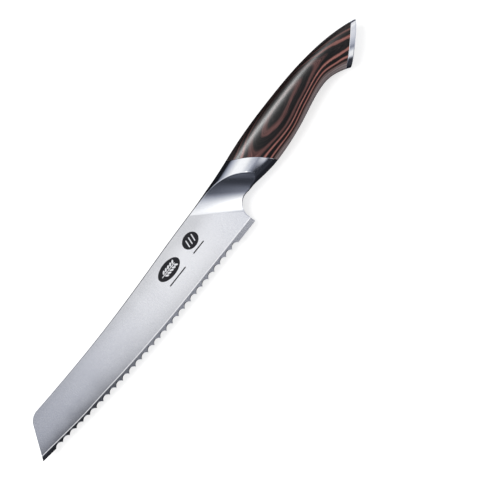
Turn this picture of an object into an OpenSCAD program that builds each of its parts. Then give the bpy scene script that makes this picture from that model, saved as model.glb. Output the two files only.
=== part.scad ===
// Bread knife lying on its right side, blade edge towards -Y, tip towards -X.
// Lengths are millimetres. The outlines below are drawn from the tip, with X running
// to the butt, Y to the spine and Z out of the left face, and in_frame() then moves
// the whole knife so that the origin is the centre of its footprint.

/* [Blade] */
// Length from the tip to the heel
blade_l = 203.4; // [195:0.2:212]
// Thickness along the spine
spine_t = 2.4; // [2:0.1:3]
// Thickness just above the bevel
edge_t = 1; // [0.8:0.1:1.4]
// How far the edge at the heel lies below the tip
heel_drop = 11; // [10:0.2:12]
// Height of the one-sided bevel along the middle of the edge
bevel_h = 3.9; // [3.6:0.1:4.4]
// Number of scallops along the edge
scallop_count = 29; // [26:1:32]
// Depth of the deepest scallops between two teeth
scallop_depth = 2.1; // [1.4:0.1:2.2]

/* [Bolster] */
// Radius of the hollow that blends the bolster into the blade
scoop_r = 42; // [38:1:48]
// Angle between the weld line and the knife's length
weld_angle = 48; // [46:1:50]
// Radius of the finger notch behind the heel
choil_r = 9.8; // [9:0.2:10.6]
// Radius of the curved joint between the bolster and the handle
joint_r = 50; // [48:1:56]

/* [Handle] */
// Length behind the heel
handle_l = 139.5; // [136:0.5:146]
// Thickness where the grip is fullest
grip_t = 21.2; // [19:0.2:23]
// Thickness at the butt
butt_t = 13.6; // [12.4:0.2:15]
// Squareness of the grip above its widest line, where 2 is an ellipse
shoulder_power = 2.4; // [2.2:0.1:3]
// Squareness of the grip below its widest line
belly_power = 1.8; // [1.6:0.1:2.4]
// Thickness of the steel butt cap
cap_t = 3.6; // [3:0.1:4.2]

/* [Core] */
// Thickness of the hidden tang
tang_t = 3; // [2.5:0.1:4]
// Resin around the tang on each side
resin_gap = 0.5; // [0.3:0.1:0.8]
// Diameter of the blind dowels through the tang
dowel_d = 5; // [4:0.5:6]
// Length of the blind dowels
dowel_l = 14; // [12:0.5:15]
// Diameter of the pin through the butt cap's tenon
pin_d = 2.5; // [2:0.5:3]

/* [Hidden] */
$fn = 64;

overall_l = blade_l + handle_l;
far = 60;
sliver = 0.06;

// Each line is a row of knots [x, value, slope] joined by cubic curves.
spine_line = [
    [0.108 * blade_l, 23.6, -0.05],
    [0.41 * blade_l, 21.8, 0],
    [0.737 * blade_l, 23.8, 0.05],
    [blade_l + 2, 25.8, 0.06],
    [blade_l + 25, 28.1, 0.11],
    [blade_l + 62, 29.9, 0],
    [blade_l + 98, 28.7, -0.1],
    [overall_l, 19.1, -0.42]
];
edge_line = [
    [0, 0, -0.115],
    [0.246 * blade_l, -0.55 * heel_drop, -0.115],
    [0.54 * blade_l, -0.92 * heel_drop, -0.035],
    [0.76 * blade_l, -0.98 * heel_drop, -0.005],
    [blade_l, -heel_drop, 0]
];
bevel_line = [
    [0, 0.76 * bevel_h, 0],
    [0.17 * blade_l, 0.74 * bevel_h, 0.01],
    [0.31 * blade_l, bevel_h, 0],
    [blade_l, 0.95 * bevel_h, 0]
];
// Underside of the handle. Its first stretch is only the body that the finger
// notch is cut out of.
belly_line = [
    [blade_l, -6, 0.9],
    [blade_l + 18.6, 4.14, -0.145],
    [blade_l + 39, 2, 0.02],
    [blade_l + 72.6, 5.8, 0.21],
    [blade_l + 94.6, 9.2, 0.02],
    [overall_l - 25.5, 1.9, -0.74]
];
// Where the cross-section that starts on the spine at x meets the belly.
foot_line = [
    [blade_l - 27, blade_l, 1],
    [blade_l + 20, blade_l + 39, 0.72],
    [blade_l + 75, blade_l + 73, 0.6],
    [overall_l, overall_l - 25.5, 0.62]
];
half_width_line = [
    [blade_l - 27, 0.4 * grip_t, 0.03],
    [blade_l + 27, 0.48 * grip_t, 0.02],
    [blade_l + 54, 0.5 * grip_t, 0],
    [blade_l + 97, 0.43 * grip_t, -0.05],
    [overall_l, butt_t / 2, -0.05]
];

// Index of the stretch of a line that holds x
function stretch(line, x, i = 0) =
    (i >= len(line) - 2 || x < line[i + 1][0]) ? i : stretch(line, x, i + 1);

// Height of a line at x
function curve(line, x) =
    let (
        a = line[stretch(line, x)],
        b = line[stretch(line, x) + 1],
        w = b[0] - a[0],
        t = (x - a[0]) / w
    )
    a[1] * (2 * t^3 - 3 * t^2 + 1) + a[2] * w * (t^3 - 2 * t^2 + t)
    + b[1] * (3 * t^2 - 2 * t^3) + b[2] * w * (t^3 - t^2);

// Points of a line from x = from to x = to in equal steps
function run(line, from, to, steps) = [
    for (i = [0:steps]) let (x = from + (to - from) * i / steps) [x, curve(line, x)]
];

// ---------- placing the knife in its frame ----------
spine_top = max([for (p = run(spine_line, blade_l, overall_l, 60)) p[1]]);
module in_frame() {
    translate([-overall_l / 2, (heel_drop - spine_top) / 2, grip_t / 2])
        children();
}

// ---------- blade ----------
// The point comes from a straight slanted cut with a rounded upper corner.
point_angle = 53;
point_r = 10;
corner_x = 17.7;
corner_y = curve(spine_line, corner_x + 4);
corner_half = point_angle / 2;
corner_cut = point_r * tan(corner_half);
heel_chamfer = 0.5;
choil_x = blade_l + choil_r - sliver;
choil_top = 4.95;

function point_corner() = [
    for (i = [0:8])
        let (a = 90 + point_angle * i / 8)
        [corner_x + corner_cut + point_r * cos(a), corner_y - point_r + point_r * sin(a)]
];

module blade_outline() {
    after = blade_l + 6;
    edge = run(edge_line, 0, blade_l - heel_chamfer, 30);
    spine = run(spine_line, after, corner_x + corner_cut + 1, 26);
    polygon(concat(
        edge,
        [
            [blade_l, heel_chamfer - heel_drop],
            [blade_l, choil_top - choil_r],
            [after, choil_top - choil_r]
        ],
        spine,
        point_corner()
    ));
}

// The two faces lean towards each other from the spine to the edge.
lean_height = 32;
lean_foot = -8;
lean = atan((spine_t - edge_t) / 2 / lean_height);

// Draws in the plane of one face, whose outward side is +Z. side is 1 or -1.
module on_face(side) {
    translate([0, lean_foot + lean_height, side * spine_t / 2])
        rotate([side * lean, 0, 0])
            scale_side(side) translate([0, -lean_foot - lean_height, 0]) children();
}

module scale_side(side) {
    if (side > 0) children();
    else mirror([0, 0, 1]) children();
}

module tapered_slab() {
    below = 12;
    half_spine = spine_t / 2 + far * tan(lean);
    half_edge = edge_t / 2 - below * tan(lean);
    y_high = lean_foot + lean_height + far;
    y_low = lean_foot - below;
    translate([-1, 0, 0]) rotate([90, 0, 90]) linear_extrude(blade_l + choil_r)
        polygon([
            [y_low, -half_edge],
            [y_high, -half_spine],
            [y_high, half_spine],
            [y_low, half_edge]
        ]);
}

function face_z(y) = edge_t / 2 + (y - lean_foot) * tan(lean);

// Everything outside the bevel: a strip under the slanted plane from the upper
// bevel line on the left face to the edge on the right face.
module bevel_cut() {
    steps = 24;
    reach = 3;
    overlap = 0.3;
    rings = [
        for (i = [0:steps])
            let (
                x = -2 + (blade_l + 4) * i / steps,
                on_edge = min(max(x, 0), blade_l),
                low = curve(edge_line, on_edge),
                high = low + curve(bevel_line, on_edge),
                z_low = -face_z(low),
                z_high = face_z(high),
                run_on = [low - high, z_low - z_high] / (high - low)
            )
            [
                [x, low + run_on[0] * reach, far / 6],
                [x, low + run_on[0] * reach, z_low + run_on[1] * reach],
                [x, high - run_on[0] * overlap, z_high - run_on[1] * overlap]
            ]
    ];
    strip(rings);
}

// A solid between rings of equal point counts. The rings turn clockwise when seen
// from the first one towards the last.
module strip(rings) {
    n = len(rings[0]);
    last = len(rings) - 1;
    polyhedron(
        points = [for (ring = rings) each ring],
        faces = concat(
            [[for (k = [0:n - 1]) k]],
            [[for (k = [n - 1:-1:0]) last * n + k]],
            [
                for (i = [0:last - 1], k = [0:n - 1])
                    [i * n + k, (i + 1) * n + k, (i + 1) * n + (k + 1) % n]
            ],
            [
                for (i = [0:last - 1], k = [0:n - 1])
                    [i * n + k, (i + 1) * n + (k + 1) % n, i * n + (k + 1) % n]
            ]
        ),
        convexity = 6
    );
}

// Each scallop is ground by a round wheel that leans out of the left face.
front_plain = 11.3;
heel_plain = 17.4;
wheel_lean = 40;
wheel_w = 16;
pitch = (blade_l - front_plain - heel_plain) / scallop_count;
stretch_y = 1 / cos(wheel_lean);

module scallops() {
    for (i = [0:scallop_count - 1]) {
        x = front_plain + (i + 0.5) * pitch;
        deep = scallop_depth * curve(bevel_line, x) / bevel_h;
        rise = deep / stretch_y;
        wheel_r = (rise^2 + (pitch / 2)^2) / (2 * rise);
        top = curve(edge_line, x) + deep;
        translate([x, top - wheel_r * stretch_y, -face_z(top)])
            rotate([-wheel_lean, 0, 0]) cylinder(r = wheel_r, h = wheel_w, center = true);
    }
}

weld_at = [blade_l - 22, 23.2];
module beyond_weld() {
    translate(weld_at) rotate(-weld_angle) translate([-2 * far, 0, -far / 2])
        cube([4 * far, 4 * far, far]);
}

module choil() {
    translate([choil_x, choil_top - choil_r, 0]) cylinder(r = choil_r, h = far, center = true);
}

module blade() {
    color([0.78, 0.79, 0.82]) in_frame() difference() {
        intersection() {
            linear_extrude(far, center = true) blade_outline();
            tapered_slab();
        }
        beyond_weld();
        choil();
        bevel_cut();
        scallops();
    }
}

// ---------- the ground body that the bolster, the scales and the cap share ----------
spine_crown = 1;
body_steps = 34;
side_steps = 11;

function signed_power(v, p) = sign(v) * abs(v)^p;

// Half of a cross-section, as [height above the belly, half width] from the edge of
// the flat spine round to the belly
function half_section(height, half_width) =
    let (
        r = (height + spine_crown) / 2,
        start = asin(((height - r) / r)^(shoulder_power / 2))
    )
    [
        for (k = [0:side_steps])
            let (
                a = start - (start + 90) * k / side_steps,
                p = 2 / (a > 0 ? shoulder_power : belly_power)
            )
            [r + r * signed_power(sin(a), p), half_width * max(cos(a), 0)^p]
    ];

function body_ring(x) =
    let (
        spine = [x, curve(spine_line, x)],
        belly_x = curve(foot_line, x),
        belly = [belly_x, curve(belly_line, belly_x)],
        height = norm(spine - belly),
        up = (spine - belly) / height,
        half = half_section(height, curve(half_width_line, x))
    )
    concat(
        [for (k = [0:side_steps]) let (p = belly + up * half[k][0]) [p[0], p[1], half[k][1]]],
        [
            for (k = [side_steps - 1:-1:0])
                let (p = belly + up * half[k][0])
                [p[0], p[1], -half[k][1]]
        ]
    );

module ground_body() {
    from = blade_l - 27;
    strip([for (i = [0:body_steps]) body_ring(from + (overall_l - from) * i / body_steps)]);
}

// ---------- bolster ----------
joint_at = [blade_l - 7.6, -15.1];
module up_to_joint() {
    translate(joint_at) cylinder(r = joint_r, h = far, center = true, $fn = 128);
}

module scoops() {
    for (side = [-1, 1])
        on_face(side) translate([weld_at[0], weld_at[1], scoop_r]) rotate(-weld_angle)
            rotate([0, 90, 0]) cylinder(r = scoop_r, h = 2.4 * far, center = true, $fn = 128);
}

// The underside leaves the finger notch just past its highest point and then follows
// the belly. Its first point lies a little inside the notch, so that they cross.
notch_exit = 80;
under_start = [
    choil_x + choil_r * cos(notch_exit) - 1.5,
    choil_top - choil_r + choil_r * sin(notch_exit) - 0.1
];
under_line = [
    [choil_x + choil_r * cos(notch_exit), choil_top - choil_r * (1 - sin(notch_exit)), -0.06],
    [blade_l + 18.6, 4.14, -0.145]
];
module under_cut() {
    translate([0, 0, -far / 2]) linear_extrude(far) polygon(concat(
        [[blade_l - 1, -far], [blade_l - 1, choil_top - choil_r], under_start],
        run(under_line, under_line[0][0], blade_l + 18.6, 5),
        [[blade_l + 20, 3.4], [blade_l + 20, -far]]
    ));
}

module bolster() {
    color([0.86, 0.87, 0.89]) in_frame() difference() {
        intersection() {
            ground_body();
            beyond_weld();
            up_to_joint();
        }
        scoops();
        choil();
        under_cut();
        tang_bar();
    }
}

// ---------- butt cap ----------
butt_top = [overall_l, curve(spine_line, overall_l)];
butt_foot = [overall_l - 25.5, curve(belly_line, overall_l - 25.5)];
butt_mid = (butt_top + butt_foot) / 2;
butt_angle = atan2(butt_top[1] - butt_foot[1], butt_top[0] - butt_foot[0]);
tenon_w = 10;
tenon_t = 7;
tenon_d = 6;
tenon_shift = -1;

// Draws with X along the butt towards the spine and Y into the handle
module at_butt() {
    translate(butt_mid) rotate(butt_angle) children();
}

function butt_point(along, inward) =
    butt_mid + along * [cos(butt_angle), sin(butt_angle)]
    + inward * [-sin(butt_angle), cos(butt_angle)];

module cap_zone() {
    at_butt() translate([-far, cap_t - far, -far / 2]) cube([2 * far, far, far]);
}

module tenon() {
    at_butt() translate([tenon_shift - tenon_w / 2, cap_t / 2, -tenon_t / 2])
        cube([tenon_w, cap_t / 2 + tenon_d, tenon_t]);
}

pin_at = butt_point(tenon_shift, cap_t + tenon_d / 2);
module pin_rod() {
    translate([pin_at[0], pin_at[1], 0]) cylinder(d = pin_d, h = tenon_t, center = true);
}

module butt_cap() {
    color([0.84, 0.85, 0.87]) in_frame() difference() {
        union() {
            intersection() {
                ground_body();
                cap_zone();
            }
            tenon();
        }
        tang_bar();
        pin_rod();
    }
}

module cap_pin() {
    color([0.7, 0.71, 0.73]) in_frame() pin_rod();
}

// ---------- tang, dowels and resin ----------
socket_x = blade_l + 18;
tang_foot = 10.5;
tang_top = 20.5;
tang_end = 3.2;
tang_gap = 0.8;
tang_outline = [
    [socket_x, tang_foot],
    butt_point(tenon_shift - tang_end, cap_t + tang_gap),
    butt_point(tenon_shift + tang_end, cap_t + tang_gap),
    [socket_x, tang_top]
];
dowel_places = [[blade_l + 47, 16.2], [blade_l + 91, 17.6]];

module tang_bar() {
    linear_extrude(tang_t, center = true) polygon(tang_outline);
}

module dowel(i) {
    translate([dowel_places[i][0], dowel_places[i][1], 0])
        cylinder(d = dowel_d, h = dowel_l, center = true);
}

module tang() {
    color([0.6, 0.61, 0.64]) in_frame() difference() {
        tang_bar();
        dowel(0);
        dowel(1);
        pin_rod();
    }
}

module front_dowel() {
    color([0.66, 0.67, 0.7]) in_frame() dowel(0);
}

module rear_dowel() {
    color([0.66, 0.67, 0.7]) in_frame() dowel(1);
}

// The milled pocket that the tang lies in
module pocket() {
    slack = [0, resin_gap];
    linear_extrude(tang_t + 2 * resin_gap, center = true) polygon([
        tang_outline[0] - slack,
        butt_point(tenon_shift - tang_end - resin_gap, cap_t),
        butt_point(tenon_shift + tang_end + resin_gap, cap_t),
        tang_outline[3] + slack
    ]);
}

module resin_bed() {
    color([0.55, 0.45, 0.3]) in_frame() difference() {
        pocket();
        up_to_joint();
        tenon();
        tang_bar();
        dowel(0);
        dowel(1);
    }
}

// ---------- handle scales ----------
module scale_half(side) {
    difference() {
        ground_body();
        translate([0, 0, -side * far]) cube([3 * overall_l, 2 * far, 2 * far], center = true);
        up_to_joint();
        cap_zone();
        tenon();
        pocket();
        dowel(0);
        dowel(1);
    }
}

module left_scale() {
    color([0.2, 0.14, 0.14]) in_frame() scale_half(1);
}

module right_scale() {
    color([0.2, 0.14, 0.14]) in_frame() scale_half(-1);
}

blade();
bolster();
tang();
left_scale();
right_scale();
front_dowel();
rear_dowel();
resin_bed();
butt_cap();
cap_pin();
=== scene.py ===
"""Looks of the bread knife: finely ground meshes, steel and laminated wood, and a photo studio."""

import math

import bmesh
import bpy
import numpy as np
from mathutils import Matrix, Vector


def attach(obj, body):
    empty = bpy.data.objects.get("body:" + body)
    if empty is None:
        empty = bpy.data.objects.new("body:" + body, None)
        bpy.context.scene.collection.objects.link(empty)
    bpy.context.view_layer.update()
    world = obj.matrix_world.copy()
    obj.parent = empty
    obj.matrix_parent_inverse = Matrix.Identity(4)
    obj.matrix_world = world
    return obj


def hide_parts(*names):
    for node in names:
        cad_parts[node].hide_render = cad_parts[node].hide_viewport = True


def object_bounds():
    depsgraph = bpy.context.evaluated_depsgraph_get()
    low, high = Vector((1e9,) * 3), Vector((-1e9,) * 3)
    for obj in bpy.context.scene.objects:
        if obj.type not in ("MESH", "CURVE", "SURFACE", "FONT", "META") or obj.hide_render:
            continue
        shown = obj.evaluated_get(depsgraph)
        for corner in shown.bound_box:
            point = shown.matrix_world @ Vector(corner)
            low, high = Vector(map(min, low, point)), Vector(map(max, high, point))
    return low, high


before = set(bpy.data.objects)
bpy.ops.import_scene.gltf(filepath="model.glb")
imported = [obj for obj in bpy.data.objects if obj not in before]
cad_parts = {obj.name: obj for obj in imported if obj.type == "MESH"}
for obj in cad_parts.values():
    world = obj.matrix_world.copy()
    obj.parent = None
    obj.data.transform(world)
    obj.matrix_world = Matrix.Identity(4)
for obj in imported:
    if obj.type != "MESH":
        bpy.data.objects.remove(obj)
CAD_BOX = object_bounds()

# ---------- dimensions, in millimetres from the blade's tip ----------
BLADE_L = 203.4
OVERALL_L = 342.9
SPINE_T = 2.4
EDGE_T = 1.0
HEEL_DROP = 11.0
BEVEL_H = 3.9
SCALLOP_COUNT = 29
SCALLOP_DEPTH = 2.1
GRIP_T = 21.2
BUTT_T = 13.6
SHOULDER_POWER = 2.4
BELLY_POWER = 1.8
SPINE_CROWN = 1.0
CAP_T = 3.6
WELD = (BLADE_L - 22, 23.2)
WELD_ANGLE = math.radians(48)
SCOOP_R = 42.0
CHOIL_R = 9.8
CHOIL = (BLADE_L + CHOIL_R - 0.06, 4.95 - CHOIL_R)
JOINT_R = 50.0
JOINT = (BLADE_L - 7.6, -15.1)
BUTT_FOOT_X = OVERALL_L - 25.5

# Rows of [x, value, slope], joined by cubic curves. A place along the body is named by its
# station, the x of its point on the spine: FOOT gives the x of the belly below a station, and
# HALF_WIDTH half the body's thickness there.
SPINE = [
    [0.108 * BLADE_L, 23.6, -0.05],
    [0.41 * BLADE_L, 21.8, 0],
    [0.737 * BLADE_L, 23.8, 0.05],
    [BLADE_L + 2, 25.8, 0.06],
    [BLADE_L + 25, 28.1, 0.11],
    [BLADE_L + 62, 29.9, 0],
    [BLADE_L + 98, 28.7, -0.1],
    [OVERALL_L, 19.1, -0.42],
]
EDGE = [
    [0, 0, -0.115],
    [0.246 * BLADE_L, -0.55 * HEEL_DROP, -0.115],
    [0.54 * BLADE_L, -0.92 * HEEL_DROP, -0.035],
    [0.76 * BLADE_L, -0.98 * HEEL_DROP, -0.005],
    [BLADE_L, -HEEL_DROP, 0],
]
BEVEL = [
    [0, 0.76 * BEVEL_H, 0],
    [0.17 * BLADE_L, 0.74 * BEVEL_H, 0.01],
    [0.31 * BLADE_L, BEVEL_H, 0],
    [BLADE_L, 0.95 * BEVEL_H, 0],
]
BELLY = [
    [BLADE_L, -6, 0.9],
    [BLADE_L + 18.6, 4.14, -0.145],
    [BLADE_L + 39, 2, 0.02],
    [BLADE_L + 72.6, 5.8, 0.21],
    [BLADE_L + 94.6, 9.2, 0.02],
    [BUTT_FOOT_X, 1.9, -0.74],
]
FOOT = [
    [BLADE_L - 27, BLADE_L, 1],
    [BLADE_L + 20, BLADE_L + 39, 0.72],
    [BLADE_L + 75, BLADE_L + 73, 0.6],
    [OVERALL_L, BUTT_FOOT_X, 0.62],
]
HALF_WIDTH = [
    [BLADE_L - 27, 0.4 * GRIP_T, 0.03],
    [BLADE_L + 27, 0.48 * GRIP_T, 0.02],
    [BLADE_L + 54, 0.5 * GRIP_T, 0],
    [BLADE_L + 97, 0.43 * GRIP_T, -0.05],
    [OVERALL_L, BUTT_T / 2, -0.05],
]

MM = 0.001
TIP = np.array([CAD_BOX[0].x, CAD_BOX[0].y + HEEL_DROP * MM, GRIP_T / 2 * MM])
TINY = 1e-6


def curve(line, x):
    """The value at x of one of the curves above."""
    knots = np.array(line, float)
    x = np.asarray(x, float)
    i = np.clip(np.searchsorted(knots[:, 0], x, side="right") - 1, 0, len(knots) - 2)
    x0, y0, s0 = (knots[i, n] for n in range(3))
    x1, y1, s1 = (knots[i + 1, n] for n in range(3))
    w = x1 - x0
    t = (x - x0) / w
    return (
        y0 * (2 * t**3 - 3 * t**2 + 1)
        + s0 * w * (t**3 - 2 * t**2 + t)
        + y1 * (3 * t**2 - 2 * t**3)
        + s1 * w * (t**3 - t**2)
    )


def halve(low, high, positive, steps=40):
    """Where positive(place) turns true between low and high, which are numbers or arrays."""
    for _ in range(steps):
        middle = (low + high) / 2
        past = positive(middle)
        high = np.where(past, middle, high)
        low = np.where(past, low, middle)
    return middle


def to_frame(points):
    """Points in millimetres from the tip, moved to the part's frame in metres."""
    return np.asarray(points, float) * MM + TIP


# ---------- meshes ----------
def new_object(name, data):
    made = bpy.data.objects.new(name, data)
    bpy.context.scene.collection.objects.link(made)
    return made


def new_mesh(name, points, faces):
    """A mesh from points in tip millimetres."""
    mesh = bpy.data.meshes.new(name)
    mesh.from_pydata([tuple(p) for p in to_frame(points)], [], [tuple(map(int, f)) for f in faces])
    return mesh


def make_piece(name, points, faces, material, replaces=(), crease=40):
    """A smooth-shaded mesh piece that rides on the one body."""
    mesh = new_mesh(name, points, faces)
    mesh.validate()
    mesh.update()
    mesh.shade_smooth()
    mesh.set_sharp_from_angle(angle=math.radians(crease))
    mesh.materials.append(material)
    piece = new_object(name, mesh)
    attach(piece, "root")
    if replaces:
        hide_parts(*replaces)
    return piece


def grid_faces(rows, columns, start=0, flip=False):
    """Quads of a rows x columns grid of points numbered from start."""
    i, j = np.meshgrid(np.arange(rows - 1), np.arange(columns - 1), indexing="ij")
    a = (start + i * columns + j).ravel()
    quads = np.stack([a, a + 1, a + columns + 1, a + columns], axis=1)
    return quads[:, ::-1] if flip else quads


# ---------- the ground body of the handle ----------
# v runs round the left half from the middle of the spine, 0, to the belly, 1: over the flat of
# the spine, the fillet and the side
FLAT_END = 0.08
FILLET_END = 0.16
FILLET = 0.9


def skin(x, v):
    """The x, y and z of the body's left half at stations x and places v."""
    x, v = np.broadcast_arrays(np.asarray(x, float), np.asarray(v, float))
    belly_x = curve(FOOT, x)
    up = np.stack([x - belly_x, curve(SPINE, x) - curve(BELLY, belly_x)])
    height = np.hypot(*up)
    up = up / height
    r = (height + SPINE_CROWN) / 2
    half_width = curve(HALF_WIDTH, x)

    def side(a):
        p = np.where(a > 0, 2 / SHOULDER_POWER, 2 / BELLY_POWER)
        rise = r + r * np.sign(np.sin(a)) * np.abs(np.sin(a)) ** p
        return rise, half_width * np.maximum(np.cos(a), 0) ** p

    def angle_at(level):
        return np.arcsin(((level - r) / r) ** (SHOULDER_POWER / 2))

    corner = side(angle_at(height))[1]
    below = angle_at(height - FILLET)
    low_e, low_z = side(below)
    t = np.clip((v - FLAT_END) / (FILLET_END - FLAT_END), 0, 1)
    weights = ((1 - t) ** 2, 2 * t * (1 - t), t**2)
    fillet_e = weights[0] * height + weights[1] * height + weights[2] * low_e
    fillet_z = weights[0] * (corner - FILLET) + weights[1] * corner + weights[2] * low_z
    s = np.clip((v - FILLET_END) / (1 - FILLET_END), 0, 1)
    side_e, side_z = side(below - (below + math.pi / 2) * s)
    e = np.where(v < FLAT_END, height, np.where(v < FILLET_END, fillet_e, side_e))
    z = np.where(
        v < FLAT_END,
        (corner - FILLET) * v / FLAT_END,
        np.where(v < FILLET_END, fillet_z, side_z),
    )
    return belly_x + up[0] * e, curve(BELLY, belly_x) + up[1] * e, z


BUTT_FOOT = np.array([BUTT_FOOT_X, 1.9])
BUTT_TOP = np.array([OVERALL_L, 19.1])
BUTT_ALONG = (BUTT_TOP - BUTT_FOOT) / np.hypot(*(BUTT_TOP - BUTT_FOOT))


def inward(x, y):
    """Distance from the butt face into the handle."""
    return -BUTT_ALONG[1] * (x - BUTT_FOOT[0]) + BUTT_ALONG[0] * (y - BUTT_FOOT[1])


def past_joint(x, y):
    """Distance behind the curved joint between the bolster and the wood."""
    return np.hypot(x - JOINT[0], y - JOINT[1]) - JOINT_R


def station_where(test, v, low, high):
    """The station, for each v, where test(x, y) of the skin turns positive."""
    return halve(
        np.full(v.shape, float(low)),
        np.full(v.shape, float(high)),
        lambda station: test(*skin(station, v)[:2]) > 0,
    )


BODY_FROM = BLADE_L - 27
# The v of each point along a row of the body's surface
PLACES = np.concatenate([
    np.linspace(0, FLAT_END, 4)[:-1],
    np.linspace(FLAT_END, FILLET_END, 6)[:-1],
    np.linspace(FILLET_END, 1, 60),
])


def closed_half(outer, side):
    """Points and faces of a solid between a (rows, columns, 3) surface and the middle plane.
    A row runs from the spine to the belly, and the rows follow each other along the handle."""
    rows, columns = outer.shape[:2]
    inner = outer * [1, 1, 0]
    points = np.concatenate([outer.reshape(-1, 3), inner.reshape(-1, 3)]) * [1, 1, side]
    n = rows * columns
    faces = [*grid_faces(rows, columns, 0), *grid_faces(rows, columns, n, flip=True)]
    for row, turn in ((0, 1), (rows - 1, -1)):
        for j in range(columns - 1):
            a = row * columns + j
            faces.append((a, a + n, a + n + 1, a + 1)[::turn])
    if side < 0:
        faces = [tuple(f)[::-1] for f in faces]
    return points, faces


def closed_whole(outer):
    """Points and faces of a solid from its left half, a (rows, columns, 3) surface whose first
    and last columns lie on the middle plane. The right half mirrors it."""
    rows, columns = outer.shape[:2]
    right = outer[:, -2:0:-1] * [1, 1, -1]
    ring = np.concatenate([outer, right], axis=1)
    count = ring.shape[1]
    faces = []
    for i in range(rows - 1):
        for j in range(count):
            a, b = i * count + j, i * count + (j + 1) % count
            faces.append((a, b, b + count, a + count))
    for row, turn in ((0, 1), (rows - 1, -1)):
        start = row * count
        for j in range(columns - 1):
            left = (start + j, start + j + 1)
            mirror = (start + (count - j) % count, start + (count - j - 1) % count)
            face = (left[0], mirror[0], mirror[1], left[1])
            if j == 0:
                face = (left[0], mirror[1], left[1])
            elif j == columns - 2:
                face = (left[0], mirror[0], left[1])
            faces.append(face[::turn])
    return ring.reshape(-1, 3), faces


def drop(distance, radius):
    """How far an edge eased to a radius has fallen at a distance from it."""
    t = np.clip(1 - distance / np.maximum(radius, TINY), 0, 1)
    return radius * (1 - np.sqrt(1 - t * t))


# ---------- node graphs ----------
class Graph:
    """Builds a node tree. An input's value is a number, a tuple or another node's output."""

    def __init__(self, tree):
        tree.nodes.clear()
        self.tree = tree

    def add(self, kind, inputs=None, output=0, **settings):
        node = self.tree.nodes.new(kind)
        for key, value in settings.items():
            setattr(node, key, value)
        for key, value in (inputs or {}).items():
            if isinstance(value, bpy.types.NodeSocket):
                self.tree.links.new(value, node.inputs[key])
            else:
                node.inputs[key].default_value = value
        return node.outputs[output] if len(node.outputs) else node

    def math(self, operation, a, b=0.0, c=0.0):
        return self.add("ShaderNodeMath", {0: a, 1: b, 2: c}, operation=operation)

    def plus(self, a, b):
        return self.math("ADD", a, b)

    def minus(self, a, b):
        return self.math("SUBTRACT", a, b)

    def times(self, a, b):
        return self.math("MULTIPLY", a, b)

    def fade(self, value, share):
        """A factor that is 1 where share is 0, and is value where share is 1."""
        return self.minus(1.0, self.times(self.minus(1.0, value), share))

    def axes(self, vector):
        """The x, y and z of a vector."""
        return self.add("ShaderNodeSeparateXYZ", {0: vector}).node.outputs

    def grey(self, value):
        return self.add("ShaderNodeCombineColor", {0: value, 1: value, 2: value})

    def spread(self, value, a, b, c=0.0, d=1.0, smooth=False):
        """Maps a..b to c..d, clamped."""
        return self.add(
            "ShaderNodeMapRange",
            {"Value": value, "From Min": a, "From Max": b, "To Min": c, "To Max": d},
            interpolation_type="SMOOTHSTEP" if smooth else "LINEAR",
        )

    def ramp(self, value, stops):
        """A colour ramp over (position, colour) stops."""
        output = self.add("ShaderNodeValToRGB", {"Fac": value})
        elements = output.node.color_ramp.elements
        for position, _colour in stops[len(elements) :]:
            elements.new(position)
        for element, (position, colour) in zip(elements, stops):
            element.position = position
            element.color = (*colour, 1)
        return output

    def mix(self, factor, a, b, blend="MIX"):
        """Two colours mixed by a factor."""
        node = self.tree.nodes.new("ShaderNodeMix")
        node.data_type = "RGBA"
        node.blend_type = blend
        for socket, value in ((node.inputs[0], factor), (node.inputs[6], a), (node.inputs[7], b)):
            if isinstance(value, bpy.types.NodeSocket):
                self.tree.links.new(value, socket)
            else:
                socket.default_value = (*value, 1)[:4] if isinstance(value, tuple) else value
        return node.outputs[2]

    def noise(self, vector, detail=2.0, rough=0.5):
        return self.add(
            "ShaderNodeTexNoise",
            {"Vector": vector, "Scale": 1.0, "Detail": detail, "Roughness": rough},
        )

    def place(self):
        """Object coordinates in metres."""
        return self.add("ShaderNodeTexCoord", output=3)

    def stretched(self, x, y, z):
        """Object coordinates with each axis scaled, so that a noise has that many waves a metre."""
        return self.add("ShaderNodeMapping", {"Vector": self.place(), "Scale": (x, y, z)})


def new_material(name):
    material = bpy.data.materials.new(name)
    material.use_nodes = True
    return material, Graph(material.node_tree)


def finish_material(g, values, bump=None):
    """Ends a graph in one Principled shader. bump is (height, strength, distance)."""
    if bump:
        values["Normal"] = g.add(
            "ShaderNodeBump", {"Height": bump[0], "Strength": bump[1], "Distance": bump[2]}
        )
    shader = g.add("ShaderNodeBsdfPrincipled", values)
    g.add("ShaderNodeOutputMaterial", {"Surface": shader})


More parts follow.
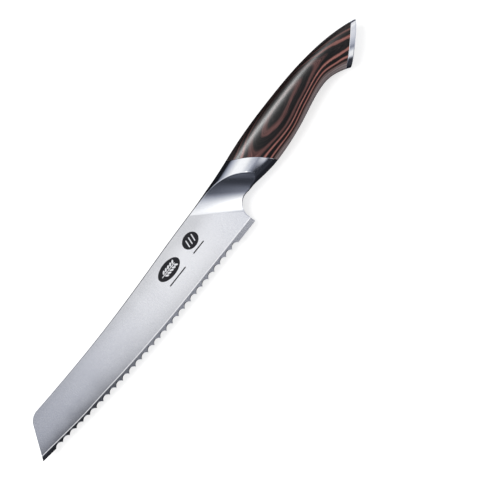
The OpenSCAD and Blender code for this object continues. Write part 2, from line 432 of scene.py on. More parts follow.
def satin_steel():
    """The blade: fine grinding lines that run from the spine to the edge, with painted shade
    towards the spine and towards the edge near the tip.
    """
    material, g = new_material("satin_steel")
    lines = g.noise(g.stretched(9000, 260, 260), 3.0, 0.6)
    cloud = g.noise(g.stretched(60, 60, 60), 2.0)
    tone = g.ramp(lines, [(0.3, (0.8, 0.805, 0.825)), (0.7, (0.92, 0.92, 0.93))])
    rough = g.plus(g.spread(lines, 0.3, 0.7, 0.22, 0.3), g.spread(cloud, 0.3, 0.7, -0.02, 0.02))
    # painted shade: the blade's colour is darkened a little towards the spine, and towards the edge
    # near the tip, and it is painted a tenth lighter towards the heel
    along, across = g.axes(g.place())[:2]
    across = g.plus(across, g.spread(cloud, 0.3, 0.7, -0.0015, 0.0015))
    height = g.math("MULTIPLY_ADD", along, 0.05, across)
    painted_spine_shade = g.spread(height, 0.0, 0.0115, 1.0, 0.82, smooth=True)
    near_edge = g.math("POWER", g.spread(height, -0.017, -0.003, 1.0, 0.0), 2.0)
    # the painted shade at the edge is left off the wall of the groove above the bevel, which faces
    # the spine
    facing_spine = g.axes(g.add("ShaderNodeNewGeometry", output=1))[1]
    near_edge = g.times(near_edge, g.spread(facing_spine, 0.12, 0.2, 1.0, 0.0))
    near_tip = g.plus(
        g.spread(along, -0.165, -0.07, 0.8, 0.2), g.spread(along, -0.01, 0.03, 0.0, -0.2)
    )
    painted_edge_shade = g.minus(g.spread(along, 0.0, 0.03, 1.0, 1.1), g.times(near_edge, near_tip))
    shade = g.grey(g.times(painted_edge_shade, painted_spine_shade))
    finish_material(
        g,
        {"Base Color": g.mix(1.0, tone, shade, "MULTIPLY"), "Metallic": 1.0, "Roughness": rough},
        (lines, 0.06, 0.00002),
    )
    return material


def polished_steel():
    """The bolster and the butt cap: bright polish with faint buffing lines."""
    material, g = new_material("polished_steel")
    lines = g.noise(g.stretched(700, 5000, 5000), 2.0)
    tone = g.ramp(lines, [(0.3, (0.78, 0.79, 0.82)), (0.7, (0.84, 0.85, 0.87))])
    finish_material(
        g,
        {
            "Base Color": tone,
            "Metallic": 1.0,
            "Roughness": g.spread(lines, 0.3, 0.7, 0.09, 0.13),
        },
        (lines, 0.03, 0.00001),
    )
    return material


def core_steel():
    """The tang, the dowels and the pin: plain grey steel."""
    material, g = new_material("core_steel")
    lines = g.noise(g.stretched(300, 300, 300), 4.0)
    tone = g.ramp(lines, [(0.3, (0.32, 0.32, 0.34)), (0.7, (0.45, 0.45, 0.47))])
    finish_material(
        g,
        {"Base Color": tone, "Metallic": 1.0, "Roughness": g.spread(lines, 0.3, 0.7, 0.35, 0.5)},
        (lines, 0.1, 0.00005),
    )
    return material


def cured_resin():
    """The hardened glue round the tang."""
    material, g = new_material("cured_resin")
    cloud = g.noise(g.stretched(400, 400, 400), 3.0)
    tone = g.ramp(cloud, [(0.3, (0.13, 0.09, 0.05)), (0.7, (0.2, 0.15, 0.09))])
    finish_material(
        g,
        {"Base Color": tone, "Roughness": g.spread(cloud, 0.3, 0.7, 0.35, 0.5)},
        (cloud, 0.2, 0.0001),
    )
    return material


# The stack of veneers from the inside out, as (level, colour). The pale grey stops at the lowest
# levels, from -0.3 to -0.155, which lie along the belly, are partly veneers and partly a painted
# sheen.
CHARCOAL = (0.006, 0.006, 0.0066)
BROWN = (0.088, 0.04, 0.038)
ROSE = (0.3, 0.125, 0.108)
STAIN = (0.06, 0.034, 0.032)
PORE = (0.03, 0.022, 0.021)
VENEERS = [
    (-0.3, (0.09, 0.077, 0.079)), (-0.205, (0.2, 0.165, 0.17)), (-0.19, (0.12, 0.1, 0.1)),
    (-0.175, (0.22, 0.178, 0.18)), (-0.155, (0.21, 0.165, 0.165)), (-0.143, (0.09, 0.066, 0.066)),
    (-0.132, (0.17, 0.12, 0.118)), (-0.122, (0.12, 0.075, 0.07)), (-0.11, (0.02, 0.015, 0.015)),
    (-0.09, CHARCOAL),
    (-0.077, ROSE), (-0.068, ROSE), (-0.058, CHARCOAL), (-0.028, CHARCOAL), (-0.018, ROSE),
    (-0.01, ROSE), (-0.002, CHARCOAL), (0.014, CHARCOAL), (0.022, BROWN),
    (0.035, (0.1, 0.045, 0.042)), (0.044, CHARCOAL), (0.075, CHARCOAL), (0.082, BROWN),
    (0.092, (0.1, 0.046, 0.043)), (0.099, CHARCOAL), (0.12, CHARCOAL),
]


def laminated_wood():
    """Dyed veneers cut through by the shape of the grip, with streaking and fine pores, and painted
    shade towards the spine.
    """
    material, g = new_material("laminated_wood")
    level = g.add("ShaderNodeAttribute", output=2, attribute_name="level")
    wander = g.noise(g.stretched(40, 160, 160), 2.0, 0.5)
    shifted = g.plus(level, g.spread(wander, 0.25, 0.75, -0.006, 0.006))
    grain = {0: g.times(g.axes(g.place())[0], 55.0), 1: g.times(shifted, 420.0)}
    streak = g.noise(g.add("ShaderNodeCombineXYZ", grain), 3.0, 0.6)
    fibre = g.noise(g.stretched(300, 3600, 3600), 3.0, 0.6)
    frayed = g.plus(shifted, g.spread(streak, 0.2, 0.8, -0.007, 0.007))
    first, last = VENEERS[0][0], VENEERS[-1][0]
    tone = g.ramp(
        g.spread(frayed, first, last),
        [((level - first) / (last - first), colour) for level, colour in VENEERS],
    )
    # painted shade: the wood's colour, streaking and all, is darkened towards the spine, to a tenth
    # near it
    v = g.add("ShaderNodeAttribute", output=2, attribute_name="v")
    streaks_and_painted_shade = g.times(
        g.spread(streak, 0.3, 0.7, 0.35, 1.6), g.spread(v, 0.12, 0.5, 0.1, 1.0, smooth=True)
    )
    streaked = g.mix(1.0, tone, g.grey(streaks_and_painted_shade), "MULTIPLY")
    stained = g.mix(g.spread(streak, 0.5, 0.75, 0.0, 0.3), streaked, STAIN)
    finish_material(
        g,
        {
            "Base Color": g.mix(g.spread(fibre, 0.56, 0.7, 0.0, 0.3), stained, PORE),
            "Roughness": g.spread(fibre, 0.25, 0.75, 0.3, 0.42),
            "Specular IOR Level": 0.14,
        },
        (fibre, 0.1, 0.00004),
    )
    return material


def etched_dark():
    """Laser-darkened steel."""
    material, g = new_material("etched_dark")
    grain = g.noise(g.stretched(6000, 6000, 6000), 2.0)
    tone = g.ramp(grain, [(0.3, (0.006, 0.006, 0.008)), (0.7, (0.016, 0.016, 0.02))])
    finish_material(
        g, {"Base Color": tone, "Metallic": 0.3, "Roughness": g.spread(grain, 0.3, 0.7, 0.5, 0.62)}
    )
    return material


def floor_paper():
    """Matt white paper that glows a little, as an overexposed studio floor."""
    material, g = new_material("floor_paper")
    cloud = g.noise(g.stretched(3, 3, 3), 2.0)
    tone = g.ramp(cloud, [(0.3, (0.74, 0.74, 0.74)), (0.7, (0.77, 0.77, 0.77))])
    finish_material(
        g,
        {
            "Base Color": tone,
            "Roughness": 0.9,
            "Specular IOR Level": 0.0,
            "Emission Color": (1, 1, 1, 1),
            "Emission Strength": 0.42,
        },
    )
    return material


MATERIALS = {
    "blade": satin_steel(),
    "polished": polished_steel(),
    "core": core_steel(),
    "etched": etched_dark(),
    "wood": laminated_wood(),
    "resin": cured_resin(),
}


def dress_cad_nodes():
    """Materials for the hidden CAD nodes, which keep their shapes."""
    for name, key in (
        ("tang", "core"),
        ("front_dowel", "core"),
        ("rear_dowel", "core"),
        ("cap_pin", "core"),
        ("resin_bed", "resin"),
    ):
        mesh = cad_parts[name].data
        mesh.materials.clear()
        mesh.materials.append(MATERIALS[key])
        mesh.shade_smooth()
        mesh.set_sharp_from_angle(angle=math.radians(25))


# ---------- scales ----------
# The grip bulges out through the stack of veneers. CREST is the line along it where its surface
# reaches furthest out in the stack, as a v at each station, and LEVEL is the level there.
CREST = [
    [BLADE_L + 18, 0.48, -0.003],
    [BLADE_L + 41, 0.415, -0.0015],
    [BLADE_L + 65, 0.37, -0.0025],
    [BLADE_L + 81, 0.345, 0],
    [BLADE_L + 102, 0.37, 0.002],
    [BLADE_L + 119, 0.425, 0.003],
    [OVERALL_L, 0.47, 0.002],
]
LEVEL = [
    [BLADE_L + 18, 0.028, 0.0005],
    [BLADE_L + 28, 0.041, 0.003],
    [BLADE_L + 37, 0.068, 0.003],
    [BLADE_L + 45, 0.0876, 0.0018],
    [BLADE_L + 57, 0.105, 0.0008],
    [BLADE_L + 65, 0.109, 0],
    [BLADE_L + 80, 0.1, -0.001],
    [BLADE_L + 87, 0.0876, -0.0025],
    [BLADE_L + 97, 0.055, -0.003],
    [BLADE_L + 105, 0.03, -0.0025],
    [BLADE_L + 110, 0.018, -0.001],
    [BLADE_L + 127, 0.0095, -0.0012],
    [OVERALL_L, -0.003, -0.0005],
]
CREST_POWER = 1.6
RIGHT_SHIFT = 3.0


def veneer_level(station, v):
    """The level in the stack of veneers at a place on the grip."""
    return curve(LEVEL, station) - np.abs(v - curve(CREST, station)) ** CREST_POWER


def past_cap_plane(x, y):
    """Distance behind the plane between the wood and the butt cap."""
    return CAP_T - inward(x, y)


def make_scale(name, side, node):
    """A wooden scale, from the bolster's joint to the cap: side is 1 for the left one."""
    low = station_where(past_joint, PLACES, BODY_FROM, OVERALL_L)
    high = station_where(past_cap_plane, PLACES, BLADE_L + 60, OVERALL_L)
    station = low + (high - low) * np.linspace(0, 1, 220)[:, None]
    outer = np.stack(skin(station, PLACES[None, :]), axis=-1)
    points, faces = closed_half(outer, side)
    piece = make_piece(name, points, faces, MATERIALS["wood"], [node])
    level = veneer_level(station + (0 if side > 0 else RIGHT_SHIFT), PLACES[None, :]).ravel()
    v = np.broadcast_to(PLACES[None, :], station.shape).ravel()
    for attribute, values in (("level", level), ("v", v)):
        stored = piece.data.attributes.new(attribute, "FLOAT", "POINT")
        stored.data.foreach_set("value", np.concatenate([values, values]))


# ---------- bolster ----------
# The blade's faces lean together from SPINE_T apart at LEAN_TOP to EDGE_T apart at LEAN_FOOT
LEAN_TOP = 24
LEAN_FOOT = -8
LEAN = math.atan((SPINE_T - EDGE_T) / 2 / (LEAN_TOP - LEAN_FOOT))
NOTCH_EXIT = math.radians(80)
# The underside between the finger notch and the belly
UNDER = [
    [
        CHOIL[0] + CHOIL_R * math.cos(NOTCH_EXIT),
        CHOIL[1] + CHOIL_R * math.sin(NOTCH_EXIT),
        -0.06,
    ],
    [BLADE_L + 18.6, 4.14, -0.145],
]
# Radii that the rims are eased to
SPINE_EASE = 0.35
CHOIL_EASE = 0.7
JOINT_EASE = 0.2
RIM_BLEND = 0.5
FAR = 99.0


def face_z(y):
    """Half the blade's thickness at a height."""
    return EDGE_T / 2 + (y - LEAN_FOOT) * math.tan(LEAN)


def body_z(x, y):
    """Half the ground body's thickness over the point (x, y)."""

    def section(station):
        """The foot of a station's section, and the step from it up to the spine."""
        foot_x = curve(FOOT, station)
        foot_y = curve(BELLY, foot_x)
        return foot_x, foot_y, station - foot_x, curve(SPINE, station) - foot_y

    def beyond(station):
        foot_x, foot_y, up_x, up_y = section(station)
        return (x - foot_x) * up_y - (y - foot_y) * up_x < 0

    station = halve(np.full(x.shape, BODY_FROM), np.full(x.shape, OVERALL_L), beyond)
    foot_x, foot_y, up_x, up_y = section(station)
    height = np.hypot(up_x, up_y)
    e = ((x - foot_x) * up_x + (y - foot_y) * up_y) / height
    r = (height + SPINE_CROWN) / 2
    half_width = curve(HALF_WIDTH, station)

    def width_at(level):
        t = np.clip((level - r) / r, -1, 1)
        power = np.where(t > 0, SHOULDER_POWER, BELLY_POWER)
        return half_width * (1 - np.abs(t) ** power) ** (1 / power)

    corner, low_z = width_at(height), width_at(height - FILLET)
    t = np.sqrt(np.clip((height - e) / FILLET, 0, 1))
    fillet = (1 - t) ** 2 * (corner - FILLET) + 2 * t * (1 - t) * corner + t**2 * low_z
    return np.where(e > height - FILLET, fillet, width_at(e))


def scoop_z(x, y):
    """Height of the hollow that blends the bolster into the leaned face of the blade."""
    rise = np.zeros(x.shape)
    for _ in range(4):
        along_face = LEAN_TOP + (y - LEAN_TOP + rise * math.sin(LEAN)) / math.cos(LEAN)
        d = (x - WELD[0]) * math.sin(WELD_ANGLE) + (along_face - WELD[1]) * math.cos(WELD_ANGLE)
        rise = SCOOP_R - np.sqrt(SCOOP_R**2 - np.clip(d, 0, 0.98 * SCOOP_R) ** 2)
    return SPINE_T / 2 + (along_face - LEAN_TOP) * math.sin(LEAN) + rise * math.cos(LEAN)


def soft_minimum(a, b, blend):
    """The lesser of two heights, rounded where they meet."""
    h = np.maximum(blend - np.abs(a - b), 0) / blend
    return np.minimum(a, b) - h * h * blend / 4


def meeting(line, test, low, high):
    """The x where a curve crosses test(x, y) = 0."""
    return float(halve(low, high, lambda x: test(x, float(curve(line, x))) > 0, 50))


def past_weld(x, y):
    """Distance behind the weld between the blade and the bolster."""
    return (x - WELD[0]) * math.sin(WELD_ANGLE) + (y - WELD[1]) * math.cos(WELD_ANGLE)


def arc(centre, radius, turns):
    """Points of a circle's arc at the given angles."""
    return np.stack([centre[0] + radius * np.cos(turns), centre[1] + radius * np.sin(turns)], -1)


def spine_weld():
    """The x of the spine at the weld."""
    return meeting(SPINE, past_weld, BLADE_L - 26, BLADE_L - 18)


def notch_start():
    """Angle on the finger notch's circle where the weld line meets it."""

    def before_weld(turn):
        return past_weld(*arc(CHOIL, CHOIL_R, turn)) <= 0

    return float(halve(math.radians(120), math.radians(180), before_weld, 50))


def underside(count):
    """Evenly spaced points from the weld round the notch and along to the wood."""
    notch = arc(CHOIL, CHOIL_R, np.linspace(notch_start(), NOTCH_EXIT, 200))
    xs = np.linspace(UNDER[0][0], UNDER[1][0], 60)[1:]
    under = np.stack([xs, curve(UNDER, xs)], 1)
    end = meeting(BELLY, past_joint, BLADE_L + 25, BLADE_L + 60)
    xs = np.linspace(UNDER[1][0], end, 200)[1:]
    belly = np.stack([xs, curve(BELLY, xs)], 1)
    points = np.concatenate([notch, under, belly])
    walked = np.concatenate([[0], np.cumsum(np.hypot(*np.diff(points, axis=0).T))])
    at = np.linspace(0, walked[-1], count)
    return np.stack([np.interp(at, walked, axis) for axis in points.T], 1)


def joint_arc(top, foot, share):
    """Points of the curved joint at shares of the way from its top to its foot."""
    a = math.atan2(top[1] - JOINT[1], top[0] - JOINT[0])
    b = math.atan2(foot[1] - JOINT[1], foot[0] - JOINT[0])
    return arc(JOINT, JOINT_R, a + (b - a) * share)


def bolster_grid(rows, share):
    """Rows of (x, y) from the weld to the curved joint. Each runs from the spine to the belly."""
    joint_top = meeting(SPINE, past_joint, BLADE_L + 5, BLADE_L + 30)
    tops_x = np.linspace(spine_weld(), joint_top, rows)
    tops = np.stack([tops_x, curve(SPINE, tops_x)], 1)
    feet = underside(rows)
    straight = tops[:, None] + (feet - tops)[:, None] * share[None, :, None]
    bend = joint_arc(tops[-1], feet[-1], share) - straight[-1]
    return straight + bend[None] * (np.linspace(0, 1, rows) ** 2)[:, None, None]


def make_bolster():
    """The ground body with the hollow cut into it, and its rims eased."""
    share = np.concatenate([
        np.linspace(0, 0.04, 9)[:-1],
        np.linspace(0.04, 0.93, 90)[:-1],
        1 - 0.07 * np.linspace(1, 0, 26) ** 1.8,
    ])
    xy = bolster_grid(150, share)
    x, y = xy[..., 0], xy[..., 1]
    scoop = scoop_z(x, y) - drop(curve(SPINE, x) - y, SPINE_EASE)
    z = soft_minimum(body_z(x, y), scoop, RIM_BLEND)
    to_notch = np.hypot(x - CHOIL[0], y - CHOIL[1]) - CHOIL_R
    to_under = np.where(x > UNDER[0][0], y - curve(UNDER, np.minimum(x, UNDER[1][0])), FAR)
    to_wall = np.where(x > UNDER[0][0], to_under, to_notch)
    z = z - drop(np.maximum(to_wall, 0), np.minimum(CHOIL_EASE, 0.35 * z))
    z = z - drop(-past_joint(x, y), JOINT_EASE)
    outer = np.concatenate([xy, np.maximum(z, 0)[..., None]], axis=-1)
    first_columns = np.stack([outer[:, 0] * [1, 1, k] for k in (0, 0.5)], axis=1)
    last_column = outer[:, -1:] * [1, 1, 0]
    points, faces = closed_whole(np.concatenate([first_columns, outer, last_column], axis=1))
    make_piece(
        "bolster_steel", points, faces, MATERIALS["polished"], ["bolster"], 32
    )


# ---------- blade ----------
POINT_ANGLE = math.radians(53)
POINT_R = 10.0
CORNER_X = 17.7
CORNER_Y = float(curve(SPINE, CORNER_X + 4))
HEEL_CHAMFER = 0.5
HEEL_EASE = 0.15
SHARP_EASE = 0.02
FRONT_PLAIN = 11.3
HEEL_PLAIN = 17.4
WHEEL_LEAN = math.radians(40)
WHEEL_ENDS = (-16, 10)
GROOVE = 0.16
GROOVE_W = 0.5
GROOVE_BACK = 0.15
GROOVE_GAP = 0.05
BLADE_CREASE = 8.8
FLAT_FACE = 4e-6


def blade_outline():
    """The outline from the weld round the heel, the edge, the tip and the spine back to the
    weld, clockwise, and the radius that the rim is eased to at each point."""
    corner_cut = POINT_R * math.tan(POINT_ANGLE / 2)
    notch = arc(CHOIL, CHOIL_R, np.linspace(notch_start(), math.pi, 24))
    notch = notch[notch[:, 0] > BLADE_L - 1]
    heel_y = np.linspace(CHOIL[1] - 0.5, HEEL_CHAMFER - HEEL_DROP, 8)
    heel = np.stack([np.full(len(heel_y), BLADE_L), heel_y], 1)
    xs = np.linspace(BLADE_L - HEEL_CHAMFER, 0, 90)
    edge = np.stack([xs, curve(EDGE, xs)], 1)
    centre = (CORNER_X + corner_cut, CORNER_Y - POINT_R)
    corner = arc(centre, POINT_R, math.pi / 2 + POINT_ANGLE * np.linspace(1, 0, 20))
    cut = corner[0] * np.linspace(0.03, 0.97, 16)[:, None]
    xs = np.linspace(CORNER_X + corner_cut + 1, spine_weld(), 110)
    spine = np.stack([xs, curve(SPINE, xs)], 1)
    parts = [
        (notch, np.full(len(notch), CHOIL_EASE)),
        (heel, np.linspace(CHOIL_EASE, HEEL_EASE, len(heel))),
        (edge, np.full(len(edge), SHARP_EASE)),
        (cut, np.minimum(SPINE_EASE, SHARP_EASE + 0.5 * np.arange(len(cut)))),
        (corner, np.full(len(corner), SPINE_EASE)),
        (spine, np.full(len(spine), SPINE_EASE)),
    ]
    return np.concatenate([p for p, _ in parts]), np.concatenate([e for _, e in parts])


def inward_steps(outline):
    """For each point of the open outline, the step that moves its rim inwards by one."""
    run = np.diff(outline, axis=0)
    run /= np.hypot(*run.T)[:, None]
    normal = np.stack([run[:, 1], -run[:, 0]], 1)
    before, after = normal[:-1], normal[1:]
    steps = np.empty_like(outline)
    steps[1:-1] = (before + after) / (1 + (before * after).sum(1))[:, None]
    weld = np.array([math.cos(WELD_ANGLE), -math.sin(WELD_ANGLE)])
    steps[0] = weld / (weld @ normal[0])
    steps[-1] = weld / (weld @ normal[-1])
    return steps


def eased_slab():
    """The blade before its bevel is ground: leaned faces and a rounded rim."""
    outline, ease = blade_outline()
    steps = inward_steps(outline)
    loops = []
    turns = np.linspace(math.pi / 2, 0, 12)
    for side, order in ((1, turns), (-1, turns[::-1])):
        for turn in order:
            xy = outline + steps * (ease * (1 - math.cos(turn)))[:, None]
            z = side * (face_z(xy[:, 1]) - ease * (1 - math.sin(turn)))
            loops.append(np.column_stack([xy, z]))
    n, count = len(outline), len(loops)
    faces = [list(range(n)), [(count - 1) * n + k for k in range(n - 1, -1, -1)]]
    for i in range(count - 1):
        for k in range(n - 1):
            a = i * n + k
            faces.append([a, a + n, a + n + 1, a + 1])
    weld_face = [i * n for i in range(count - 1, -1, -1)] + [i * n + n - 1 for i in range(count)]
    faces.append(weld_face)
    return np.concatenate(loops), faces


def ring_solid(rings):
    """Points and faces of a solid between rings of equal point counts."""
    rings = np.asarray(rings, float)
    rows, n = rings.shape[:2]
    faces = [list(range(n)), [(rows - 1) * n + k for k in range(n - 1, -1, -1)]]
    for i in range(rows - 1):
        for k in range(n):
            a, b = i * n + k, i * n + (k + 1) % n
            faces.append([a, a + n, b + n, b])
    return rings.reshape(-1, 3), faces


def bevel_rings(steps=120):
    """The cutters of the bevel and of the fine groove above it, as rings along the blade."""
    rings, grooves = [], []
    under, over, height = 3, 0.3, 10
    for x in np.linspace(-2, BLADE_L + 2, steps):
        on_edge = min(max(x, 0), BLADE_L)
        low = float(curve(EDGE, on_edge))
        high = low + float(curve(BEVEL, on_edge))
        z_low, z_high = -face_z(low), face_z(high)
        slope = (z_high - z_low) / (high - low)
        rings.append([
            (x, low - under, height),
            (x, low - under, z_low - under * slope),
            (x, high + over, z_high + over * slope),
        ])
        wall = high + GROOVE_GAP + GROOVE_W
        back = wall + GROOVE_BACK
        grooves.append([
            (x, high + GROOVE_GAP - GROOVE_W, face_z(high) + GROOVE),
            (x, wall, face_z(wall) - GROOVE),
            (x, back, face_z(back) + GROOVE),
        ])
    return rings, grooves


def scallop_profile():
    """The wheels' outline in the plane across their leaning axis, as rows of (x, w)."""
    pitch = (BLADE_L - FRONT_PLAIN - HEEL_PLAIN) / SCALLOP_COUNT
    cos, sin = math.cos(WHEEL_LEAN), math.sin(WHEEL_LEAN)
    wheels = []
    for i in range(SCALLOP_COUNT):
        x = FRONT_PLAIN + (i + 0.5) * pitch
        deep = SCALLOP_DEPTH * float(curve(BEVEL, x)) / BEVEL_H
        rise = deep * cos
        r = (rise**2 + (pitch / 2) ** 2) / (2 * rise)
        top = float(curve(EDGE, x)) + deep
        wheels.append((x, (top - r / cos) * cos + face_z(top) * sin, r))

    def height(wheel, x):
        return wheel[1] + math.sqrt(max(wheel[2] ** 2 - (x - wheel[0]) ** 2, 0))

    outer_end = 0.56 * pitch
    ends = [wheels[0][0] - outer_end]
    for one, two in zip(wheels, wheels[1:]):
        cusp = halve(
            one[0] + 0.3 * pitch,
            two[0] - 0.3 * pitch,
            lambda x: height(one, x) <= height(two, x),
        )
        ends.append(float(cusp))
    ends.append(wheels[-1][0] + outer_end)
    points = []
    for (x, w, r), start, end in zip(wheels, ends, ends[1:]):
        a, b = (math.acos(min(max((at - x) / r, -1), 1)) for at in (start, end))
        turns = np.linspace(a, b, 17)
        points += [tuple(p) for p in arc((x, w), r, turns if end == ends[-1] else turns[:-1])]
    # below the heel's plain edge, and back under the whole edge
    step, far_x = 3, BLADE_L + 30
    below = points[-1][1] - step
    points += [(points[-1][0], below), (far_x, below), (far_x, below - step)]
    points.append((points[0][0], below - step))
    return np.array(points)


def scallop_rings():
    """The two ends of the cutter that grinds the scallops."""
    x, w = scallop_profile().T
    cos, sin = math.cos(WHEEL_LEAN), math.sin(WHEEL_LEAN)
    return [np.column_stack([x, w * cos + t * sin, t * cos - w * sin]) for t in WHEEL_ENDS]


def rough_object(name, points, faces):
    """An object to carve, or to carve with."""
    mesh = new_mesh(name, points, faces)
    work = bmesh.new()
    work.from_mesh(mesh)
    bmesh.ops.recalc_face_normals(work, faces=work.faces)
    work.to_mesh(mesh)
    work.free()
    return new_object(name, mesh)


def carve(body, cutters):
    """Cuts each cutter out of the body for good."""
    for cutter in cutters:
        cut = body.modifiers.new("cut", "BOOLEAN")
        cut.operation, cut.solver, cut.object = "DIFFERENCE", "EXACT", cutter
    graph = bpy.context.evaluated_depsgraph_get()
    mesh = bpy.data.meshes.new_from_object(body.evaluated_get(graph))
    body.modifiers.clear()
    body.data = mesh
    for cutter in cutters:
        bpy.data.objects.remove(cutter)


def make_blade():
    """The slab with its bevel, groove and scallops ground out of it."""
    piece = rough_object("blade_steel", *eased_slab())
    bevel, groove = bevel_rings()
    carve(
        piece,
        [
            rough_object("bevel_cutter", *ring_solid(bevel)),
            rough_object("groove_cutter", *ring_solid(groove)),
            rough_object("scallop_cutter", *ring_solid(scallop_rings())),
        ],
    )
    mesh = piece.data
    mesh.name = "blade_steel"
    mesh.shade_smooth()
    mesh.set_sharp_from_angle(angle=math.radians(BLADE_CREASE))
    for face in mesh.polygons:
        if face.area > FLAT_FACE:
            face.use_smooth = False
    mesh.materials.clear()
    mesh.materials.append(MATERIALS["blade"])
    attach(piece, "root")
    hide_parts("blade")


# ---------- marks on the blade ----------
PROUD = 0.03
INLAY_DEPTH = 0.1
PANEL = (145.2, 13.4)
PANEL_RADII = (9.4, 4.9)
LOAF = (168.0, 14.2)
LOAF_RADII = (6.2, 4.8)
RULE_W = 0.8
GRAIN_RADII = (1.35, 0.62)
GRAIN_TURN = 0.62


def oval(centre, radii, turn, count):
    """Points round an ellipse turned about its centre."""
    t = np.linspace(0, 2 * math.pi, count, endpoint=False)
    x, y = radii[0] * np.cos(t), radii[1] * np.sin(t)
    return np.column_stack([
        centre[0] + x * math.cos(turn) - y * math.sin(turn),
        centre[1] + x * math.sin(turn) + y * math.cos(turn),
    ])


def rounded_bar(start, end, width, count=7):
    """Points round a bar with round ends."""
    start, end = np.array(start, float), np.array(end, float)
    angle = math.atan2(*(end - start)[::-1])
    points = []
    for centre, first in ((end, angle - math.pi / 2), (start, angle + math.pi / 2)):
        for t in np.linspace(first, first + math.pi, count):
            points.append(centre + width / 2 * np.array([math.cos(t), math.sin(t)]))
    return np.array(points)


def inlays(name, shapes, material, proud):
    """One piece of thin filled shapes that lie in the blade's left face."""
    points, faces = [], []
    for shape in shapes:
        start, n = len(points), len(shape)
        for level in (proud, -INLAY_DEPTH):
            points += [(x, y, face_z(y) + level) for x, y in shape]
        faces += [list(range(start, start + n)), list(range(start + 2 * n - 1, start + n - 1, -1))]
        for k in range(n):
            a, b = start + k, start + (k + 1) % n
            faces.append([b, a, a + n, b + n])
    make_piece(name, points, faces, material, crease=20)


def level_bar(x, y, half_length, width):
    """A bar along the blade about (x, y)."""
    return rounded_bar((x - half_length, y), (x + half_length, y), width)


def make_marks():
    """Laser-darkened marks: an ear of wheat in an oval, a plain loaf, and a rule below each."""
    dark = [
        oval(PANEL, PANEL_RADII, 0.0, 48),
        level_bar(PANEL[0], 6.1, 7.6, RULE_W),
        oval(LOAF, LOAF_RADII, 0.06, 40),
        level_bar(LOAF[0], 7.4, 4.8, RULE_W),
    ]
    inlays("blade_marks", dark, MATERIALS["etched"], PROUD)
    stalk = level_bar(PANEL[0] - 0.6, PANEL[1], 6.0, 0.5)
    grains = [
        oval((PANEL[0] - 3.6 + 2.2 * i, PANEL[1] + 1.45 * side), GRAIN_RADII, GRAIN_TURN * side, 16)
        for i in range(5)
        for side in (1, -1)
    ]
    slashes = [
        rounded_bar((x - 0.7, LOAF[1] - 2.0), (x + 0.7, LOAF[1] + 2.0), 0.75)
        for x in (LOAF[0] - 2.7, LOAF[0], LOAF[0] + 2.7)
    ]
    inlays("blade_mark_lines", [stalk, *grains, *slashes], MATERIALS["blade"], PROUD + 0.015)


# ---------- butt cap ----------
CAP_EASE = 0.45
CAP_JOINT_EASE = 0.12


def make_cap():
    """The end of the ground body, eased round the butt face and along the wood."""
    start = station_where(past_cap_plane, PLACES, BLADE_L + 60, OVERALL_L)
    s = np.concatenate([np.linspace(0, 0.8, 12)[:-1], 1 - 0.2 * np.linspace(1, 0, 12) ** 2])
    outer = np.stack(skin(start + (OVERALL_L - start) * s[:, None], PLACES[None, :]), axis=-1)
    for row in outer:
        a = (row[:, 0] - BUTT_FOOT[0]) * BUTT_ALONG[0] + (row[:, 1] - BUTT_FOOT[1]) * BUTT_ALONG[1]
        da, dz = np.gradient(a), np.gradient(row[:, 2])
        length = np.hypot(da, dz)
        depth = inward(row[:, 0], row[:, 1])
        shrink = drop(depth, CAP_EASE) + drop(CAP_T - depth, CAP_JOINT_EASE)
        across = shrink * dz / length * np.sign(a[-1] - a[0])
        row[:, 0] += across * BUTT_ALONG[0]
        row[:, 1] += across * BUTT_ALONG[1]
        row[:, 2] = np.maximum(row[:, 2] - shrink * np.abs(da) / length, 0)
    outer[:, [0, -1], 2] = 0
    points, faces = closed_whole(outer)
    make_piece(
        "butt_cap_steel", points, faces, MATERIALS["polished"], ["butt_cap"], 32
    )


# ---------- studio ----------
def view_axes():
    """The main view's right, up and backward directions, fixed in the part's frame."""
    tilt, roll = math.radians(10), math.radians(51.7)
    back = Vector((0, math.sin(tilt), math.cos(tilt)))
    across = Vector((0, math.cos(tilt), -math.sin(tilt)))
    along = Vector((1, 0, 0))
    right = math.cos(roll) * along - math.sin(roll) * across
    up = math.sin(roll) * along + math.cos(roll) * across
    return right, up, back


def make_camera():
    """A long lens over the knife, leaning 10 degrees to the spine's side."""
    view_width, distance = 0.305, 1.5
    right, up, back = view_axes()
    matrix = Matrix((right, up, back)).transposed().to_4x4()
    matrix.translation = Vector(to_frame([187.8, -10.81, 0])) + back * distance
    data = bpy.data.cameras.new("camera")
    data.sensor_width = 36
    data.lens = data.sensor_width * distance / view_width
    camera = new_object("camera", data)
    camera.matrix_world = matrix
    bpy.context.scene.camera = camera


def dome_faces(start, rings, sides):
    """The quads between rings of points numbered from start."""
    faces = []
    for ring in range(rings - 1):
        a, b = start + ring * sides, start + (ring + 1) * sides
        faces += [(a + i, b + i, b + (i + 1) % sides, a + (i + 1) % sides) for i in range(sides)]
    return faces


def make_floor():
    """A round pale floor that turns up far from the knife."""
    reach, rise, sides = 6.0, 3.0, 24
    angles = np.linspace(0, 2 * math.pi, sides, endpoint=False)
    rings = [(reach, 0.0), (reach * 1.3, rise * 0.2), (reach * 1.5, rise)]
    points = [(0, 0, 0)]
    points += [(r * math.cos(a), r * math.sin(a), z) for r, z in rings for a in angles]
    faces = [(0, 1 + i, 1 + (i + 1) % sides) for i in range(sides)]
    faces += dome_faces(1, len(rings), sides)
    mesh = bpy.data.meshes.new("floor")
    mesh.from_pydata(points, [], faces)
    mesh.shade_smooth()
    mesh.materials.append(floor_paper())
    floor = new_object("floor", mesh)
    floor.visible_glossy = False


